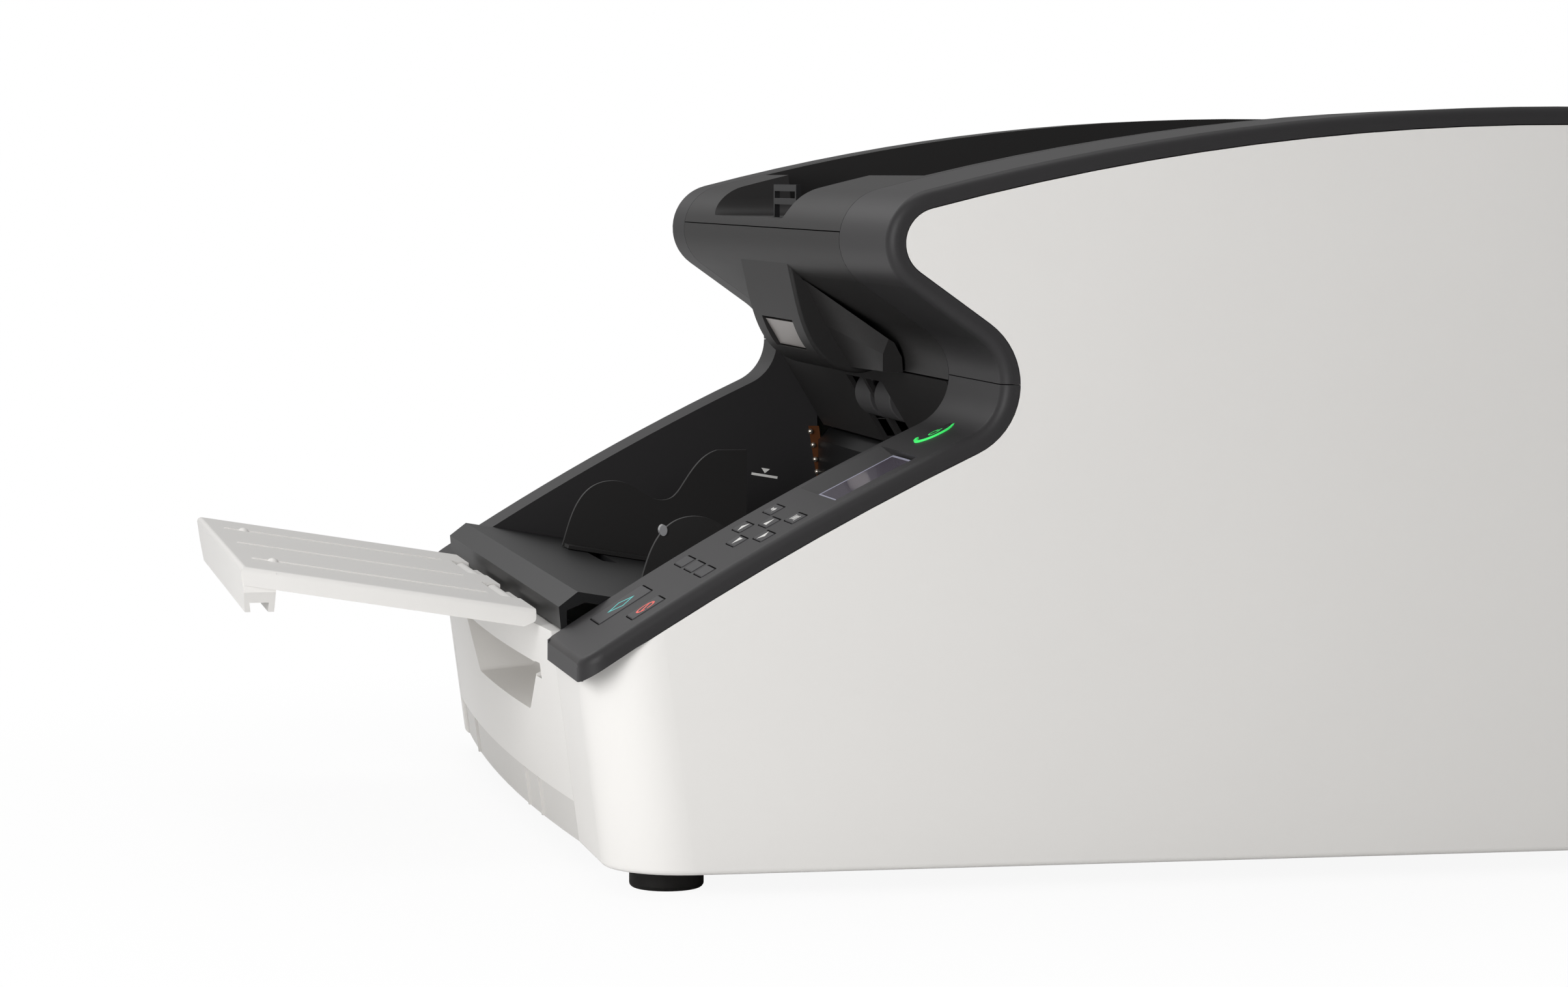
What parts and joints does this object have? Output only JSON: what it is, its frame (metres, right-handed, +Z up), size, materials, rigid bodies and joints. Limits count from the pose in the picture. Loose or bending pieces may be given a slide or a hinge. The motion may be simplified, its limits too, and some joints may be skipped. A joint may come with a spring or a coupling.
{
  "type": "document scanner",
  "caption": "Sheet-fed document scanner with an S-shaped side, hinged upper unit, rising feed table, folding tray and a key panel on its right arm.",
  "frame": {"origin": "centre of the footprint on the floor plane, under the middle of the whole scanner with its tray down", "axes": "+X to the operator's right, +Y to the back of the machine, +Z up"},
  "size_m": [0.48, 0.6869, 0.3141],
  "materials": {
    "white_body": "fine texture",
    "grey_trim": "satin",
    "grey_upper": "satin",
    "dark_guide": "satin",
    "guide_grey": "satin",
    "key_grey": "satin",
    "window": "gloss",
    "steel": "brushed",
    "zinc_plate": "zinc plated",
    "roller": "matte",
    "belt": "matte",
    "foot_rubber": "matte",
    "glass": "polished",
    "silver": "satin",
    "motor_black": "satin",
    "board_green": "satin",
    "supply_metal": "zinc plated",
    "black_plastic": "satin",
    "pinion_white": "satin"
  },
  "bodies": {
    "chassis": {"base_pan": "zinc_plate", "rubber_feet": "foot_rubber", "right_side_cover": "white_body", "left_side_cover": "white_body", "front_cover": "white_body", "front_strip": "white_body", "rear_cover": "white_body", "rear_top_cover": "grey_trim", "control_arm": "grey_trim", "left_arm": "grey_trim", "right_upper_trim": "grey_trim", "left_upper_trim": "grey_trim", "display_window": "window", "lower_frame": "zinc_plate", "hinge_pins": "steel", "lower_guide": "dark_guide", "lower_read_unit": "black_plastic", "lower_scan_glass": "glass", "drive_motor": "motor_black", "drive_belt": "belt", "main_board": "board_green", "power_supply": "supply_metal", "fan_housing": "black_plastic", "cover_screws": "steel"},
    "upper_unit": {"upper_front_cover": "grey_upper", "eject_tray": "grey_upper", "outlet_cover": "grey_upper", "upper_frame": "zinc_plate", "upper_guide": "dark_guide", "upper_read_unit": "black_plastic", "upper_scan_glass": "glass"},
    "open_lever": {"open_lever": "silver"},
    "eject_stopper": {"eject_stopper": "dark_guide"},
    "pickup_roller": {"pickup_roller": "roller"},
    "feed_roller": {"feed_roller": "roller"},
    "main_idler": {"main_idler": "roller"},
    "eject_roller": {"eject_roller": "roller"},
    "retard_roller": {"retard_roller": "roller"},
    "registration_roller": {"registration_roller": "roller"},
    "main_roller": {"main_roller": "roller"},
    "motor_pulley": {"motor_pulley": "steel"},
    "power_switch": {"power_switch": "black_plastic"},
    "fan_rotor": {"fan_rotor": "black_plastic"},
    "feed_tray": {"feed_tray": "white_body"},
    "feed_table": {"feed_table": "dark_guide"},
    "right_guide": {"right_guide": "guide_grey"},
    "left_guide": {"left_guide": "guide_grey"},
    "guide_pinion": {"guide_pinion": "pinion_white"},
    "menu_key_upper_left": {"menu_key_upper_left": "key_grey"},
    "menu_key_up": {"menu_key_up": "key_grey"},
    "menu_key_upper_right": {"menu_key_upper_right": "key_grey"},
    "menu_key_left": {"menu_key_left": "key_grey"},
    "menu_key_right": {"menu_key_right": "key_grey"},
    "menu_key_down": {"menu_key_down": "key_grey"},
    "function_key_left": {"function_key_left": "key_grey"},
    "function_key_middle": {"function_key_middle": "key_grey"},
    "function_key_right": {"function_key_right": "key_grey"},
    "start_key": {"start_key": "key_grey"},
    "stop_key": {"stop_key": "key_grey"},
    "power_key": {"power_key": "key_grey"}
  },
  "joints": [
    {"name": "upper_unit_hinge", "type": "hinge", "parent": "chassis", "child": "upper_unit", "pos_m": [-0.026, 0.2892, 0.284], "axis": [-1, 0, 0], "range_deg": [0, 35]},
    {"name": "open_lever_pivot", "type": "hinge", "parent": "upper_unit", "child": "open_lever", "pos_m": [-0.026, -0.0748, 0.226], "axis": [1, 0, 0], "range_deg": [0, 20], "stiffness_Nm_per_rad": 0.25},
    {"name": "eject_stopper_pivot", "type": "hinge", "parent": "upper_unit", "child": "eject_stopper", "pos_m": [-0.026, -0.06062, 0.2623], "axis": [-1, 0, 0], "range_deg": [0, 75]},
    {"name": "main_roller_spin", "type": "hinge", "parent": "chassis", "child": "main_roller", "pos_m": [-0.026, 0.1592, 0.1498], "axis": [1, 0, 0], "continuous": true},
    {"name": "registration_roller_spin", "type": "hinge", "parent": "chassis", "child": "registration_roller", "pos_m": [-0.026, 0.0292, 0.1498], "axis": [1, 0, 0], "continuous": true},
    {"name": "retard_roller_spin", "type": "hinge", "parent": "chassis", "child": "retard_roller", "pos_m": [-0.026, -0.0038, 0.1468], "axis": [1, 0, 0], "continuous": true},
    {"name": "motor_pulley_spin", "type": "hinge", "parent": "chassis", "child": "motor_pulley", "pos_m": [-0.026, 0.0942, 0.07], "axis": [1, 0, 0], "continuous": true},
    {"name": "pickup_roller_spin", "type": "hinge", "parent": "upper_unit", "child": "pickup_roller", "pos_m": [-0.026, -0.0323, 0.1844], "axis": [1, 0, 0], "continuous": true},
    {"name": "feed_roller_spin", "type": "hinge", "parent": "upper_unit", "child": "feed_roller", "pos_m": [-0.026, -0.0038, 0.1762], "axis": [1, 0, 0], "continuous": true},
    {"name": "main_idler_spin", "type": "hinge", "parent": "upper_unit", "child": "main_idler", "pos_m": [-0.026, 0.1592, 0.1702], "axis": [1, 0, 0], "continuous": true},
    {"name": "eject_roller_spin", "type": "hinge", "parent": "upper_unit", "child": "eject_roller", "pos_m": [-0.026, 0.2012, 0.28], "axis": [1, 0, 0], "continuous": true},
    {"name": "fan_spin", "type": "hinge", "parent": "chassis", "child": "fan_rotor", "pos_m": [0.12, 0.3249, 0.15], "axis": [0, 1, 0], "continuous": true},
    {"name": "feed_tray_hinge", "type": "hinge", "parent": "chassis", "child": "feed_tray", "pos_m": [0, -0.2248, 0.1012], "axis": [-1, 0, 0], "range_deg": [0, 80]},
    {"name": "feed_table_lift", "type": "slide", "parent": "chassis", "child": "feed_table", "axis": [0, 0, 1], "range_m": [0, 0.04]},
    {"name": "right_guide_slide", "type": "slide", "parent": "feed_table", "child": "right_guide", "axis": [-1, 0, 0], "range_m": [-0.044, 0.056]},
    {"name": "left_guide_slide", "type": "slide", "parent": "feed_table", "child": "left_guide", "axis": [1, 0, 0], "range_m": [-0.044, 0.056]},
    {"name": "guide_pinion_spin", "type": "hinge", "parent": "feed_table", "child": "guide_pinion", "pos_m": [-0.026, -0.13222, 0.09227], "axis": [0, 0.165, 0.9863], "range_deg": [-211, 268]},
    {"name": "menu_key_upper_left_press", "type": "slide", "parent": "chassis", "child": "menu_key_upper_left", "axis": [0, 0.4778, -0.8784], "range_m": [0, 0.0008], "stiffness_N_per_m": 600},
    {"name": "menu_key_up_press", "type": "slide", "parent": "chassis", "child": "menu_key_up", "axis": [0, 0.4827, -0.8758], "range_m": [0, 0.0008], "stiffness_N_per_m": 600},
    {"name": "menu_key_upper_right_press", "type": "slide", "parent": "chassis", "child": "menu_key_upper_right", "axis": [0, 0.4778, -0.8784], "range_m": [0, 0.0008], "stiffness_N_per_m": 600},
    {"name": "menu_key_left_press", "type": "slide", "parent": "chassis", "child": "menu_key_left", "axis": [0, 0.488, -0.8729], "range_m": [0, 0.0008], "stiffness_N_per_m": 600},
    {"name": "menu_key_right_press", "type": "slide", "parent": "chassis", "child": "menu_key_right", "axis": [0, 0.488, -0.8729], "range_m": [0, 0.0008], "stiffness_N_per_m": 600},
    {"name": "menu_key_down_press", "type": "slide", "parent": "chassis", "child": "menu_key_down", "axis": [0, 0.4933, -0.8699], "range_m": [0, 0.0008], "stiffness_N_per_m": 600},
    {"name": "function_key_left_press", "type": "slide", "parent": "chassis", "child": "function_key_left", "axis": [0, 0.5069, -0.862], "range_m": [0, 0.0008], "stiffness_N_per_m": 600},
    {"name": "function_key_middle_press", "type": "slide", "parent": "chassis", "child": "function_key_middle", "axis": [0, 0.5069, -0.862], "range_m": [0, 0.0008], "stiffness_N_per_m": 600},
    {"name": "function_key_right_press", "type": "slide", "parent": "chassis", "child": "function_key_right", "axis": [0, 0.5069, -0.862], "range_m": [0, 0.0008], "stiffness_N_per_m": 600},
    {"name": "start_key_press", "type": "slide", "parent": "chassis", "child": "start_key", "axis": [0, 0.5286, -0.8489], "range_m": [0, 0.0008], "stiffness_N_per_m": 600},
    {"name": "stop_key_press", "type": "slide", "parent": "chassis", "child": "stop_key", "axis": [0, 0.5256, -0.8507], "range_m": [0, 0.0008], "stiffness_N_per_m": 600},
    {"name": "power_key_press", "type": "slide", "parent": "chassis", "child": "power_key", "axis": [0, 0.428, -0.9038], "range_m": [0, 0.0008], "stiffness_N_per_m": 600},
    {"name": "power_switch_rock", "type": "hinge", "parent": "chassis", "child": "power_switch", "pos_m": [-0.112, 0.3312, 0.045], "axis": [1, 0, 0], "range_deg": [0, 14]}
  ],
  "couplings": [
    {"joint": "registration_roller_spin", "follows": "main_roller_spin", "ratio": 1},
    {"joint": "retard_roller_spin", "follows": "main_roller_spin", "ratio": 0.76923},
    {"joint": "motor_pulley_spin", "follows": "main_roller_spin", "ratio": 1.4469},
    {"joint": "pickup_roller_spin", "follows": "main_roller_spin", "ratio": -0.90909},
    {"joint": "feed_roller_spin", "follows": "main_roller_spin", "ratio": -0.625},
    {"joint": "main_idler_spin", "follows": "main_roller_spin", "ratio": -1},
    {"joint": "eject_roller_spin", "follows": "main_roller_spin", "ratio": -1.1111},
    {"joint": "left_guide_slide", "follows": "right_guide_slide", "ratio": 1},
    {"joint": "guide_pinion_spin", "follows": "right_guide_slide", "rad_per_m": 83.333}
  ]
}
